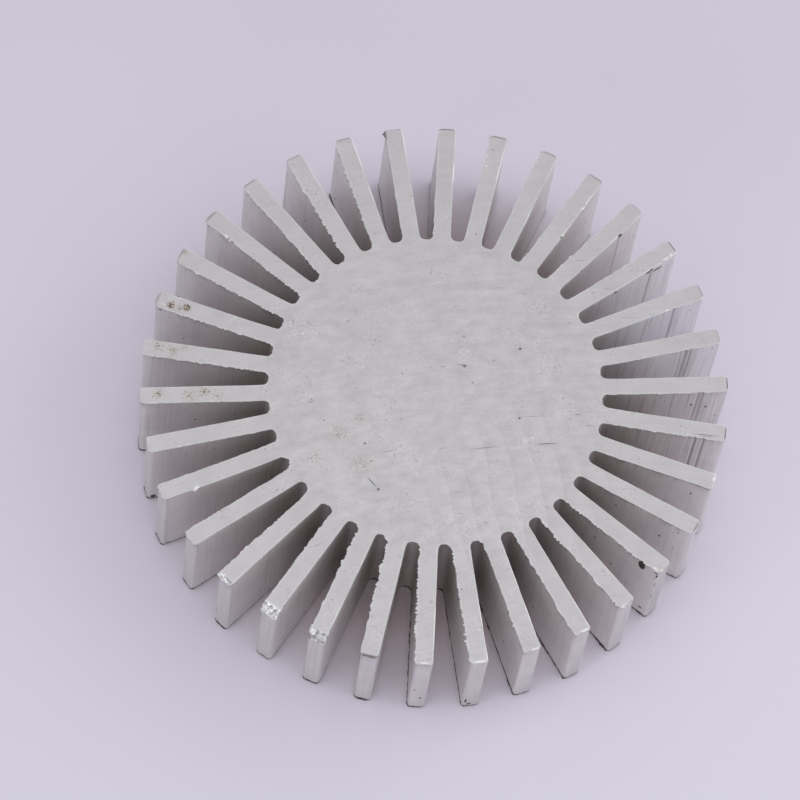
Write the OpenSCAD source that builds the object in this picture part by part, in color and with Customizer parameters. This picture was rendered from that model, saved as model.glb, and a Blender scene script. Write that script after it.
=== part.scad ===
// Sunflower heat sink: a slice sawn off an aluminium extrusion, with a solid round core
// and straight radial fins all round it. The slice stands on one sawn face, its axis is +Z,
// and the first fin lies on +X.

/* [Slice] */
// Diameter over the fin tips
outer_d = 50; // [40:0.5:80]
// Diameter of the solid core, measured at the floors of the slots
core_d = 28.5; // [24:0.1:36]
// Length of the slice between its two sawn faces
slice_h = 10; // [3:0.5:60]

/* [Fins] */
// Number of fins round the core, an even number so that each has another opposite it
fin_count = 34; // [12:2:40]
// Thickness of a fin, the same from its root to its tip
fin_t = 1.5; // [0.8:0.1:2]
// Radius on the two long corners of a fin tip
tip_r = 0.3; // [0.1:0.05:0.6]
// Radius in the two corners of a slot floor, where a fin grows out of the core
root_r = 0.5; // [0.1:0.05:0.6]

/* [Hidden] */
$fn = 96;

outer_r = outer_d / 2;
core_r = core_d / 2;
pitch_a = 360 / fin_count;

// A tip can be no rounder than its fin is thick
tip_corner_r = min(tip_r, 0.45 * fin_t);

// A fin is rooted this deep inside the solid core
fin_bed = fin_t / 2;

// Radius of the arc that would round a whole slot floor, from one fin side to the next
whole_floor_r = (core_r * sin(pitch_a / 2) - fin_t / 2) / (1 - sin(pitch_a / 2));
root_corner_r = min(root_r, 0.9 * whole_floor_r);
// A root arc dips this far into the core and into the fin side, so that it crosses both
root_dip = root_corner_r / 250;
// Centre of a root arc, beside a fin that lies along +X
root_y = fin_t / 2 + root_corner_r - root_dip;
root_x = sqrt(pow(core_r + root_corner_r - root_dip, 2) - pow(root_y, 2));
// The line from the axis to that centre meets the bed of the fin here
root_bed = [root_x, root_y] * (core_r - fin_bed) / norm([root_x, root_y]);

// The rounded corner between the core and one side of a fin that lies along +X
module root_corner_section() {
    difference() {
        polygon([[root_x, root_y], root_bed, [core_r - fin_bed, 0], [root_x, 0]]);
        translate([root_x, root_y])
            circle(r = root_corner_r);
    }
}

// One fin along +X, with its two rounded tip corners and its two rounded root corners
module fin_section() {
    shank_end = outer_r - tip_corner_r;
    tip_flat = fin_t - 2 * tip_corner_r;
    translate([core_r - fin_bed, -fin_t / 2])
        square([shank_end - core_r + fin_bed, fin_t]);
    translate([shank_end, -tip_flat / 2])
        square([tip_corner_r, tip_flat]);
    for (side = [-1, 1])
        translate([shank_end, side * tip_flat / 2])
            circle(r = tip_corner_r);
    root_corner_section();
    mirror([0, 1])
        root_corner_section();
}

module heat_sink() {
    color([0.73, 0.72, 0.73])
        linear_extrude(height = slice_h) {
            circle(r = core_r);
            for (k = [0 : fin_count - 1])
                rotate(k * pitch_a)
                    fin_section();
        }
}

heat_sink();
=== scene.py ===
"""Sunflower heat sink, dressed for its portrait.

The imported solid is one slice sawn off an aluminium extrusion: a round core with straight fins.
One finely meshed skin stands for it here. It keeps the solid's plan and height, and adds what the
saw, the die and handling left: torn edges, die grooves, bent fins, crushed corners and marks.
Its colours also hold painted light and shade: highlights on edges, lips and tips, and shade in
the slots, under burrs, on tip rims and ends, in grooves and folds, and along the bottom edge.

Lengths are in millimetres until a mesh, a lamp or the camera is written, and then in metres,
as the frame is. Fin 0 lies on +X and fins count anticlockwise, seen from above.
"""

import logging
import math
from dataclasses import dataclass
from enum import Enum, IntEnum
from typing import Any, Union

import bpy
import numpy as np
from mathutils import Matrix, Vector


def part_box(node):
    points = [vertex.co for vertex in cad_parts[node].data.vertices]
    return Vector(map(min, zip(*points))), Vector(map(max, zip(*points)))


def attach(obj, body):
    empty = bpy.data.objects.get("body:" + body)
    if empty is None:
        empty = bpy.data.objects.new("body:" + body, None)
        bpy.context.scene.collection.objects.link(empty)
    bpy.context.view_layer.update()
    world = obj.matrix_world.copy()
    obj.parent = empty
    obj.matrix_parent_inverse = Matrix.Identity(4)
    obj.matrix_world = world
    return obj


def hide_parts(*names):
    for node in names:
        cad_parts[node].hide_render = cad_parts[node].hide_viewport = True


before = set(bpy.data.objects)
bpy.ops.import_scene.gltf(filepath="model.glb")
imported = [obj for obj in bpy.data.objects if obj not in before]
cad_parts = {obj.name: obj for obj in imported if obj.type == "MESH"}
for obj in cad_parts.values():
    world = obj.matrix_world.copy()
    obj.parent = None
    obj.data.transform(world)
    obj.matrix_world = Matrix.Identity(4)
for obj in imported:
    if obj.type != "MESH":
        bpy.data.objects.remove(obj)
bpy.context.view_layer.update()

MM = 0.001
PHOTO_PX = 800
SENSOR_MM = 36.0
# How far a mark reaches into the metal, and at the uneven ends of the fins
SKIN_DEPTH = 0.3
END_DEPTH = 0.5
# A crushed corner falls away by this power of the share of its length
CORNER_POWER = 1.7
log = logging.getLogger("heat_sink")

Socket = bpy.types.NodeSocket
Tree = bpy.types.NodeTree
Triple = tuple[float, float, float]


class Side(IntEnum):
    """The two long sides of a fin; the value is the sign of v, which runs anticlockwise across it."""

    CW = -1
    CCW = 1


class Skin(IntEnum):
    """Material slots of the slice's mesh."""

    SAWN = 0
    MILL = 1
    CRUSHED = 2
    PRESSED = 3


class Cap(Enum):
    """The two sawn faces of the slice."""

    TOP = "top"
    UNDERSIDE = "underside"


def linear(hex_colour: str) -> tuple[float, float, float, float]:
    """Turns an sRGB colour into the linear one that a shader socket takes.

    Args:
        hex_colour: six hexadecimal digits after a hash sign.

    Returns:
        Red, green and blue in linear light, and an alpha of one.
    """
    parts = [int(hex_colour[i:i + 2], 16) / 255 for i in (1, 3, 5)]
    light = [p / 12.92 if p <= 0.04045 else ((p + 0.055) / 1.055) ** 2.4 for p in parts]
    return light[0], light[1], light[2], 1.0


def add_node(tree: Tree, kind: str, inputs: dict[Union[str, int], Any],
             **settings: Any) -> bpy.types.Node:
    """Adds one node, sets its properties and fills its sockets.

    Sockets 1 and 2 of a map range are the span that it reads, 3 and 4 the span that it gives.
    Sockets 6 and 7 of a mix are its two colours.

    Args:
        tree: the node tree that takes the node.
        kind: the node's Blender type.
        inputs: by socket name or number, a constant, or an output socket to link from.
        settings: the node's own properties.

    Returns:
        The new node.
    """
    node = tree.nodes.new(kind)
    for name, value in settings.items():
        setattr(node, name, value)
    for name, value in inputs.items():
        if isinstance(value, Socket):
            tree.links.new(value, node.inputs[name])
        else:
            node.inputs[name].default_value = value
    return node


def loop_noise(share: np.ndarray, cells: int, seed: int) -> np.ndarray:
    """Random curve round a closed line: one seeded value per cell, joined by S-curves.

    Args:
        share: places along the line, from 0 to 1.
        cells: how many cells the line has.
        seed: seed of the values.

    Returns:
        Values from -1 to 1, equal at both ends of the line.
    """
    values = np.random.default_rng(seed).uniform(-1.0, 1.0, cells)
    at = share * cells
    low = np.floor(at).astype(int)
    blend = at - low
    blend = blend * blend * (3 - 2 * blend)
    return values[low % cells] * (1 - blend) + values[(low + 1) % cells] * blend


def sheet_noise(x: np.ndarray, y: np.ndarray, cell: float, seed: int) -> np.ndarray:
    """Random sheet: one seeded value per lattice point, joined by S-curves both ways.

    Args:
        x: places along the sheet, zero or more.
        y: places across it, zero or more.
        cell: size of a lattice cell.
        seed: seed of the values.

    Returns:
        Values from -1 to 1.
    """
    at_x, at_y = x / cell, y / cell
    i, j = np.floor(at_x).astype(int), np.floor(at_y).astype(int)
    values = np.random.default_rng(seed).uniform(-1.0, 1.0, (i.max() + 2, j.max() + 2))
    a, b = at_x - i, at_y - j
    a, b = a * a * (3 - 2 * a), b * b * (3 - 2 * b)
    near = values[i, j] * (1 - a) + values[i + 1, j] * a
    far = values[i, j + 1] * (1 - a) + values[i + 1, j + 1] * a
    return near * (1 - b) + far * b


def swell(x: np.ndarray, middle: float, half: float) -> np.ndarray:
    """Bell curve: one at the middle, falling to 1/e at half on both sides."""
    return np.exp(-(((x - middle) / half) ** 2))


@dataclass(frozen=True)
class SlicePlan:
    """Plan of the slice: a round core and equal straight fins, in millimetres.

    The outer radius and the height come from the frame; the rest repeats the part's source.
    """

    outer_r: float
    height: float
    core_r: float = 14.25
    fin_count: int = 34
    fin_t: float = 1.5
    tip_r: float = 0.3
    root_r: float = 0.5

    @property
    def half_pitch(self) -> float:
        """Half the angle from fin to fin, in radians."""
        return math.pi / self.fin_count

    @property
    def fin_length(self) -> float:
        """How far a fin stands out of the core."""
        return self.outer_r - self.core_r

    @property
    def root_centre(self) -> tuple[float, float]:
        """Middle of the root fillet, touching the core circle and the fin's anticlockwise side."""
        v = self.fin_t / 2 + self.root_r
        return math.sqrt((self.core_r + self.root_r) ** 2 - v * v), v

    @property
    def angles(self) -> np.ndarray:
        """Every fin's direction, in radians."""
        return np.arange(self.fin_count) * 2 * self.half_pitch

    def turn(self, fin: int) -> float:
        """A fin's direction, in radians."""
        return 2 * self.half_pitch * fin

    def place(self, fin: int, u: Any, v: Any) -> tuple[Any, Any]:
        """Turns a place on a fin into one on the slice.

        Args:
            fin: the fin's number.
            u: distance from the slice's axis, along the fin; a number or an array.
            v: distance from the fin's middle line, anticlockwise; a number or an array.

        Returns:
            x and y in the frame.
        """
        a = self.turn(fin)
        return u * math.cos(a) - v * math.sin(a), u * math.sin(a) + v * math.cos(a)


@dataclass(frozen=True)
class Mark:
    """A small mark on the metal: a soft ellipsoid round one point of the surface, in millimetres."""

    at: Triple
    half: Triple
    turn: float = 0.0
    strength: float = 1.0

    @staticmethod
    def scratch(x0: float, y0: float, x1: float, y1: float, z: float,
                width: float = 0.14, strength: float = 1.0) -> "Mark":
        """Makes a straight scratch across a sawn face.

        Args:
            x0: start, across.
            y0: start, up.
            x1: end, across.
            y1: end, up.
            z: height of the face.
            width: width of the scratch, which fades to its rim.
            strength: how much of the mark's colour shows in the middle.

        Returns:
            The mark.
        """
        length = math.hypot(x1 - x0, y1 - y0)
        return Mark(((x0 + x1) / 2, (y0 + y1) / 2, z), (length / 2, width / 2, SKIN_DEPTH),
                    math.atan2(y1 - y0, x1 - x0), strength)

    @staticmethod
    def spot(x: float, y: float, z: float, radius: float, strength: float = 1.0) -> "Mark":
        """A round mark on a sawn face."""
        return Mark((x, y, z), (radius, radius, SKIN_DEPTH), 0.0, strength)

    @staticmethod
    def on_top(plan: SlicePlan, fin: int, u: float, v: float, half_u: float, half_v: float,
               strength: float = 1.0) -> "Mark":
        """Makes a mark on the top of a fin.

        Args:
            plan: the slice's plan.
            fin: the fin's number.
            u: distance from the slice's axis.
            v: distance from the fin's middle line, anticlockwise.
            half_u: half the mark's length along the fin.
            half_v: half its width across the fin.
            strength: how much of the mark's colour shows in the middle.

        Returns:
            The mark.
        """
        x, y = plan.place(fin, u, v)
        return Mark((x, y, plan.height), (half_u, half_v, SKIN_DEPTH), plan.turn(fin), strength)

    @staticmethod
    def on_side(plan: SlicePlan, fin: int, side: Side, u: float, z: float, half_u: float, half_z: float,
                strength: float = 1.0) -> "Mark":
        """Makes a mark on the long side of a fin.

        Args:
            plan: the slice's plan.
            fin: the fin's number.
            side: which long side.
            u: distance from the slice's axis.
            z: height over the floor.
            half_u: half the mark's length along the fin.
            half_z: half the mark's height.
            strength: how much of the mark's colour shows in the middle.

        Returns:
            The mark.
        """
        x, y = plan.place(fin, u, side * plan.fin_t / 2)
        return Mark((x, y, z), (half_u, SKIN_DEPTH, half_z), plan.turn(fin), strength)

    @staticmethod
    def on_end(plan: SlicePlan, fin: int, v: float, z: float, half_v: float, half_z: float,
               strength: float = 1.0) -> "Mark":
        """Makes a mark on the end of a fin.

        Args:
            plan: the slice's plan.
            fin: the fin's number.
            v: distance from the fin's middle line, anticlockwise.
            z: height over the floor.
            half_v: half the mark's width across the fin.
            half_z: half the mark's height.
            strength: how much of the mark's colour shows in the middle.

        Returns:
            The mark.
        """
        x, y = plan.place(fin, plan.outer_r, v)
        return Mark((x, y, z), (END_DEPTH, half_v, half_z), plan.turn(fin), strength)


def mark_mask(tree: Tree, coords: Socket, marks: tuple[Mark, ...]) -> Socket:
    """Draws marks into one mask: each is one minus the distance from its middle, in half sizes.

    Args:
        tree: the material's node tree.
        coords: Object coordinates in millimetres.
        marks: the marks; at least one.

    Returns:
        The mask, from 0 to 1.
    """
    mask: Any = 0.0
    for mark in marks:
        local = add_node(tree, "ShaderNodeMapping",
                         {"Vector": coords, "Location": mark.at, "Rotation": (0, 0, mark.turn),
                          "Scale": mark.half}, vector_type="TEXTURE")
        fade = add_node(tree, "ShaderNodeTexGradient", {"Vector": local.outputs[0]},
                        gradient_type="SPHERICAL")
        shade = add_node(tree, "ShaderNodeMath", {0: fade.outputs["Fac"], 1: mark.strength},
                         operation="MULTIPLY", use_clamp=True)
        mask = add_node(tree, "ShaderNodeMath", {0: shade.outputs[0], 1: mask},
                        operation="MAXIMUM").outputs[0]
    return mask


def speckle(tree: Tree, coords: Socket, spacing: float, radius: float, share: float,
            flat: bool) -> Socket:
    """Scatters round dots: one in some cells of a random lattice, larger where its draw is higher.

    Args:
        tree: the material's node tree.
        coords: Object coordinates in millimetres.
        spacing: size of a cell.
        radius: radius of the largest dots.
        share: share of the cells that hold a dot.
        flat: scatter over x and y only, for a level face.

    Returns:
        A mask, one inside the dots.
    """
    cells = add_node(tree, "ShaderNodeTexVoronoi", {"Vector": coords, "Scale": 1 / spacing},
                     voronoi_dimensions="2D" if flat else "3D")
    draw = add_node(tree, "ShaderNodeSeparateColor", {0: cells.outputs["Color"]})
    size = add_node(tree, "ShaderNodeMapRange",
                    {0: draw.outputs[0], 1: 1 - share, 2: 1.0, 3: 0.0, 4: radius / spacing})
    inside = add_node(tree, "ShaderNodeMath", {0: size.outputs[0], 1: cells.outputs["Distance"]},
                      operation="SUBTRACT")
    return add_node(tree, "ShaderNodeMapRange", {0: inside.outputs[0], 1: 0.0, 2: 0.04}).outputs[0]


def weighed(tree: Tree, base: float, patterns: tuple[tuple[Socket, float], ...]) -> Socket:
    """Adds up patterns, each times its weight, from a base.

    Args:
        tree: the material's node tree.
        base: the sum's first term.
        patterns: each pattern with its weight.

    Returns:
        The sum.
    """
    total: Any = base
    for pattern, weight in patterns:
        total = add_node(tree, "ShaderNodeMath", {0: pattern, 1: weight, 2: total},
                         operation="MULTIPLY_ADD").outputs[0]
    return total


def overlay(tree: Tree, under: Any, layers: tuple[tuple[Socket, str], ...]) -> Socket:
    """Lays colours over a colour, one after the other, each through its mask.

    Args:
        tree: the material's node tree.
        under: the colour below, a constant or a socket.
        layers: each layer's mask and hex colour.

    Returns:
        The colour on top.
    """
    for mask, colour in layers:
        under = add_node(tree, "ShaderNodeMix", {0: mask, 6: under, 7: linear(colour)},
                         data_type="RGBA").outputs[2]
    return under


@dataclass
class Bench:
    """A new node material with the parts that every metal finish starts from."""

    material: bpy.types.Material
    tree: Tree
    shader: bpy.types.Node
    mm: Socket

    @staticmethod
    def start(name: str) -> "Bench":
        """Starts a material.

        Args:
            name: the material's name.

        Returns:
            The material, its tree and shader, and Object coordinates in millimetres.
        """
        material = bpy.data.materials.new(name)
        material.use_nodes = True
        tree = material.node_tree
        place = add_node(tree, "ShaderNodeTexCoord", {})
        mm = add_node(tree, "ShaderNodeVectorMath", {0: place.outputs["Object"], "Scale": 1 / MM},
                      operation="SCALE")
        return Bench(material, tree, tree.nodes["Principled BSDF"], mm.outputs[0])

    def noise(self, size: float, detail: float) -> Socket:
        """Random cloud with patches of this size in millimetres."""
        return add_node(self.tree, "ShaderNodeTexNoise",
                        {"Vector": self.mm, "Scale": 1 / size, "Detail": detail}).outputs["Fac"]

    def radius(self) -> Socket:
        """Measures how far a place lies from the slice's axis.

        Returns:
            The distance in millimetres.
        """
        flat = add_node(self.tree, "ShaderNodeVectorMath", {0: self.mm, 1: (1, 1, 0)}, operation="MULTIPLY")
        return add_node(self.tree, "ShaderNodeVectorMath", {0: flat.outputs[0]},
                        operation="LENGTH").outputs["Value"]

    def finish(self, colour: Socket, gloss: Socket, height: Socket, relief: float, metallic: float) -> None:
        """Joins the patterns to the shader.

        Args:
            colour: base colour.
            gloss: roughness.
            height: relief pattern.
            relief: height of the relief, in millimetres.
            metallic: share of bare metal; the rest is a dull skin of oxide.
        """
        bump = add_node(self.tree, "ShaderNodeBump",
                        {"Strength": 1.0, "Distance": relief * MM, "Height": height})
        self.shader.inputs["Metallic"].default_value = metallic
        for socket, source in (("Base Color", colour), ("Roughness", gloss), ("Normal", bump.outputs[0])):
            self.tree.links.new(source, self.shader.inputs[socket])


@dataclass(frozen=True)
class SawnAluminium:
    """Bare aluminium, sawn across the extrusion and left as it came off the blade.

    The eye sees a pale satin grey with fine arcs from the blade, soft chatter shingles where the
    blade left the cut, a mottle that is calmer on the fins, dark specks and lines, bright flecks,
    and a little brown dust. Painted highlights lie along the edges' lips and along the top edges of
    some tips, and painted shade on the rims of some tips. Arcs and grain are drawn coarser than
    real tooth marks, so that they show.
    """

    core_r: float
    scratches: tuple[Mark, ...]
    flecks_and_highlights: tuple[Mark, ...]
    dust: tuple[Mark, ...]
    dull: str = "#c3c1c3"
    bright: str = "#ece9eb"
    mark_colour: str = "#5a5552"
    # Bared flecks and glints, and painted highlights along some tips' top edges
    fleck_and_highlight_colour: str = "#fbfafa"
    dust_colour: str = "#5d4934"
    haze_colour: str = "#b7a27c"
    # Painted shade on the rims of some tips and by dark flakes
    grime_and_shade_colour: str = "#57504e"
    # Painted highlight along the edges' lips
    edge_highlight_colour: str = "#f3f3f4"
    blade_centre: Triple = (23.0, -78.0, 0.0)
    blade_r: float = 76.0
    arc_size: tuple[float, float] = (0.22, 7.0)
    mottle_size: tuple[float, float] = (0.8, 1.5)
    grain_size: float = 0.16
    cloud_size: float = 5.0
    cluster_size: float = 2.6
    crumb_size: float = 0.25
    hole_size: float = 0.24
    speck_size: float = 0.12
    dot_spacing: float = 1.5
    dot_r: float = 0.12
    dot_share: float = 0.14
    fin_calm: float = 0.5
    band_spacing: float = 2.0
    band_turn: float = math.radians(24)
    band_zone: Mark = Mark((8.5, -8.5, 10.0), (12.0, 9.0, 4.0), 0.35, 1.7)
    metallic: float = 0.9
    relief: float = 0.006

    def blade_place(self, bench: Bench) -> Socket:
        """Places on the face by the blade that cut it.

        Args:
            bench: the material in work.

        Returns:
            A vector: distance from the blade's middle, and length along its rim, in millimetres.
        """
        tree = bench.tree
        away = add_node(tree, "ShaderNodeVectorMath", {0: bench.mm, 1: self.blade_centre},
                        operation="SUBTRACT")
        flat = add_node(tree, "ShaderNodeVectorMath", {0: away.outputs[0], 1: (1, 1, 0)},
                        operation="MULTIPLY")
        radius = add_node(tree, "ShaderNodeVectorMath", {0: flat.outputs[0]}, operation="LENGTH")
        parts = add_node(tree, "ShaderNodeSeparateXYZ", {0: flat.outputs[0]})
        turn = add_node(tree, "ShaderNodeMath", {0: parts.outputs["Y"], 1: parts.outputs["X"]},
                        operation="ARCTAN2")
        along = add_node(tree, "ShaderNodeMath", {0: turn.outputs[0], 1: self.blade_r},
                         operation="MULTIPLY")
        return add_node(tree, "ShaderNodeCombineXYZ",
                        {0: radius.outputs["Value"], 1: along.outputs[0]}).outputs[0]

    def tone(self, bench: Bench, mottle: Socket, grain: Socket, arcs: Socket) -> Socket:
        """Adds the face's patterns up into one tone.

        Args:
            bench: the material in work.
            mottle: patches that the blade smeared.
            grain: fine grain.
            arcs: fine arcs that the blade's teeth left.

        Returns:
            The tone, about 0 for dull and 1 for bright.
        """
        tree = bench.tree
        calm = add_node(tree, "ShaderNodeMapRange", {0: bench.radius(), 1: self.core_r - 0.5,
                                                     2: self.core_r + 1.5, 3: 1.0, 4: self.fin_calm})
        rough = add_node(tree, "ShaderNodeMath",
                         {0: weighed(tree, -0.6, ((mottle, 0.8), (grain, 0.4))), 1: calm.outputs[0]},
                         operation="MULTIPLY")
        band_place = add_node(tree, "ShaderNodeMapping",
                              {"Vector": bench.mm, "Rotation": (0, 0, self.band_turn)}, vector_type="TEXTURE")
        bands = add_node(tree, "ShaderNodeTexWave",
                         {"Vector": band_place.outputs[0], "Scale": math.pi / 10 / self.band_spacing,
                          "Distortion": 6.0, "Detail": 2.0, "Detail Scale": 0.5}, wave_profile="SAW")
        zone = mark_mask(tree, bench.mm, (self.band_zone,))
        centred = add_node(tree, "ShaderNodeMath", {0: bands.outputs["Fac"], 1: 0.5}, operation="SUBTRACT")
        banding = add_node(tree, "ShaderNodeMath", {0: centred.outputs[0], 1: zone}, operation="MULTIPLY")
        return weighed(tree, 0.2, ((arcs, 0.22), (bench.noise(self.cloud_size, 2.0), 0.35),
                                   (banding.outputs[0], 0.2), (rough.outputs[0], 1.0)))

    def build(self) -> bpy.types.Material:
        """Builds the material.

        Returns:
            A node material that reads Object coordinates and the attributes "lip" and "grime".
        """
        bench = Bench.start("aluminium_sawn")
        tree, mm = bench.tree, bench.mm
        blade = self.blade_place(bench)
        streaks = []
        for (across, along), detail in ((self.arc_size, 2.0), (self.mottle_size, 3.0)):
            scaled = add_node(tree, "ShaderNodeVectorMath", {0: blade, 1: (1 / across, 1 / along, 0)},
                              operation="MULTIPLY")
            noise = add_node(tree, "ShaderNodeTexNoise",
                             {"Vector": scaled.outputs[0], "Scale": 1.0, "Detail": detail})
            streaks.append(noise.outputs["Fac"])
        arcs, mottle = streaks
        grain = bench.noise(self.grain_size, 2.0)
        tone = self.tone(bench, mottle, grain, arcs)

        # Lines, and the flecks with their painted highlights, are broken up by the grain, and dots are darker
        # where the mottle is high.
        dots_drawn = speckle(tree, mm, self.dot_spacing, self.dot_r, self.dot_share, True)
        broken_lines, broken_flecks_and_highlights, dots = (
            add_node(tree, "ShaderNodeMath", {0: mask, 1: breaker}, operation="MULTIPLY").outputs[0]
            for mask, breaker in ((mark_mask(tree, mm, self.scratches), grain),
                                  (mark_mask(tree, mm, self.flecks_and_highlights), grain), (dots_drawn, mottle)))
        lines = add_node(tree, "ShaderNodeMapRange", {0: broken_lines, 1: 0.05, 2: 0.4, 4: 0.85})
        flecks_and_highlights = add_node(tree, "ShaderNodeMapRange", {0: broken_flecks_and_highlights, 1: 0.08, 2: 0.3})

        # Bright crumbs and dark holes come in clusters.
        clusters = add_node(tree, "ShaderNodeMapRange",
                            {0: bench.noise(self.cluster_size, 3.0), 1: 0.5, 2: 0.75})
        crumbs = add_node(tree, "ShaderNodeMapRange",
                          {0: bench.noise(self.crumb_size, 1.0), 1: 0.58, 2: 0.76, 4: 0.7})
        holes = add_node(tree, "ShaderNodeMapRange",
                         {0: bench.noise(self.hole_size, 1.0), 1: 0.6, 2: 0.78, 4: 0.55})
        glints, nicks = (
            add_node(tree, "ShaderNodeMath", {0: clusters.outputs[0], 1: bits.outputs[0]},
                     operation="MULTIPLY").outputs[0] for bits in (crumbs, holes))

        # Dust: brown specks in each marked patch, thickest in its middle.
        specks = bench.noise(self.speck_size, 2.0)
        dusty = add_node(tree, "ShaderNodeMath", {0: mark_mask(tree, mm, self.dust), 1: 0.36, 2: specks},
                         operation="MULTIPLY_ADD")
        dust = add_node(tree, "ShaderNodeMapRange", {0: dusty.outputs[0], 1: 0.76, 2: 0.92, 4: 0.9})
        haze = add_node(tree, "ShaderNodeMapRange", {0: dusty.outputs[0], 1: 0.6, 2: 0.9, 4: 0.55})

        # Painted highlight along the lips of torn and rounded edges, broken by the mottle
        lip = add_node(tree, "ShaderNodeAttribute", {}, attribute_name="lip")
        lip_highlight = add_node(tree, "ShaderNodeMath", {0: lip.outputs["Fac"], 1: mottle}, operation="MULTIPLY")
        # Painted shade on the rims of some tips, from the mesh
        grime_and_shade = add_node(tree, "ShaderNodeAttribute", {}, attribute_name="grime_and_shade")
        colour = overlay(tree, linear(self.dull), (
            (tone, self.bright), (dots, self.mark_colour), (nicks, self.mark_colour),
            (glints, self.fleck_and_highlight_colour), (lines.outputs[0], self.mark_colour),
            (haze.outputs[0], self.haze_colour), (dust.outputs[0], self.dust_colour),
            (lip_highlight.outputs[0], self.edge_highlight_colour), (flecks_and_highlights.outputs[0], self.fleck_and_highlight_colour),
            (grime_and_shade.outputs["Fac"], self.grime_and_shade_colour)))
        gloss = add_node(tree, "ShaderNodeMapRange", {0: tone, 1: 0.0, 2: 1.0, 3: 0.56, 4: 0.42})
        height = add_node(tree, "ShaderNodeMath", {0: lines.outputs[0], 1: -2.0, 2: tone},
                          operation="MULTIPLY_ADD")
        bench.finish(colour, gloss.outputs[0], height.outputs[0], self.relief, self.metallic)
        return bench.material


@dataclass(frozen=True)
class MillAluminium:
    """Bare aluminium in mill finish, as it left the extrusion die: the fins' sides and ends.

    The eye sees a grey satin metal, partly dulled by oxide, with upright die lines, soft blotches,
    a few dark pits and stains, and a thin broken dark line along the bottom edge that is dirt and
    painted contact shadow. Painted shade lies warm deep in the slots, on the ends, along the die
    grooves, under torn top edges with some grime, and under some burrs; painted highlight lies
    along the edges' lips. The die lines come in faint groups and are clear where the die was worn,
    and the walls of some fins there are painted brighter, as light. Lines and grain are drawn
    coarser than real ones, so that they show.
    """

    core_r: float
    outer_r: float
    stains_and_shade: tuple[Mark, ...]
    grooves: tuple[Mark, ...]
    end_shade_marks: tuple[Mark, ...]
    worn_die: tuple[Mark, ...]
    lit_walls: tuple[Mark, ...]
    dull: str = "#e2dedd"
    bright: str = "#f7f3f2"
    # Painted light: the walls of some fins at the right are drawn brighter
    lit_wall_colour: str = "#fcfcff"
    # Warm painted shade deep in the slots, fading out over slot_reach
    slot_shade_colour: str = "#84726b"
    slot_reach: float = 5.0
    slot_shade: float = 0.42
    # Painted shade on the fins' ends
    end_shade_colour: str = "#8f8b8f"
    tip_shade: float = 0.2
    line_colour: str = "#8f868c"
    line_shade: float = 0.37
    line_patch: float = 2.5
    # Stains, and painted shade under some burrs
    stain_and_shade_colour: str = "#2e2119"
    # Dirt and painted contact shadow along the bottom edge
    dirt_and_shade_colour: str = "#37302d"
    pit_colour: str = "#41332d"
    # Grime and painted shade under torn top edges, and painted shade on tip rims
    grime_and_shade_colour: str = "#4e4746"
    # Painted highlight along the edges' lips
    edge_highlight_colour: str = "#f1f1f3"
    line_width: float = 0.2
    fine_width: float = 0.09
    blotch_size: float = 2.2
    pit_spacing: float = 1.1
    pit_r: float = 0.14
    pit_share: float = 0.7
    grain_size: float = 0.16
    break_size: float = 0.4
    dirt_and_shade_height: float = 0.7
    metallic: float = 0.55
    relief: float = 0.005

    def build(self) -> bpy.types.Material:
        """Builds the material.

        Returns:
            A node material that reads Object coordinates and the attributes "lip" and "grime".
        """
        bench = Bench.start("aluminium_mill_finish")
        tree, mm = bench.tree, bench.mm

        # Die lines: noise drawn out along the extrusion, in two widths, and dark where it is low.
        drawn = add_node(tree, "ShaderNodeVectorMath", {0: mm, 1: (1, 1, 0.02)}, operation="MULTIPLY")
        coarse, fine, groups = (
            add_node(tree, "ShaderNodeTexNoise",
                     {"Vector": drawn.outputs[0], "Scale": 1 / width, "Detail": 2.0}).outputs["Fac"]
            for width in (self.line_width, self.fine_width, self.line_patch))
        tone = weighed(tree, -0.6, ((coarse, 0.4), (fine, 0.3), (bench.noise(self.blotch_size, 3.0), 1.0),
                                    (bench.noise(self.grain_size, 2.0), 0.5)))
        dark = add_node(tree, "ShaderNodeMapRange", {0: coarse, 1: 0.34, 2: 0.5, 3: self.line_shade, 4: 0.0})
        where = weighed(tree, -0.45, ((groups, 1.2), (mark_mask(tree, mm, self.worn_die), 1.1)))
        die_lines = add_node(tree, "ShaderNodeMath", {0: dark.outputs[0], 1: where}, operation="MULTIPLY")
        # Painted shade along the die grooves
        grooves = add_node(tree, "ShaderNodeMapRange",
                           {0: mark_mask(tree, mm, self.grooves), 1: 0.0, 2: 0.8, 4: 0.6})

        pits = speckle(tree, mm, self.pit_spacing, self.pit_r, self.pit_share, False)
        radius = bench.radius()
        # Warm painted shade deep in the slots, strongest at the core
        slot_shade_mask = add_node(tree, "ShaderNodeMapRange",
                        {0: radius, 1: self.core_r, 2: self.core_r + self.slot_reach,
                         3: self.slot_shade, 4: 0.0})
        # Painted shade on the fins' ends
        end_shade = add_node(tree, "ShaderNodeMapRange",
                           {0: radius, 1: self.outer_r - 0.3, 2: self.outer_r - 0.1,
                            3: 0.0, 4: self.tip_shade})

        # Dirt and painted contact shadow along the bottom edge, broken by noise.
        parts = add_node(tree, "ShaderNodeSeparateXYZ", {0: mm})
        low = add_node(tree, "ShaderNodeMapRange",
                       {0: parts.outputs["Z"], 1: 0.0, 2: self.dirt_and_shade_height, 3: 0.5, 4: -0.5})
        broken = bench.noise(self.break_size, 3.0)
        edge = add_node(tree, "ShaderNodeMath", {0: low.outputs[0], 1: broken}, operation="ADD")
        dirt_and_contact_shade = add_node(tree, "ShaderNodeMapRange", {0: edge.outputs[0], 1: 0.55, 2: 0.75, 4: 0.95})
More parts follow.
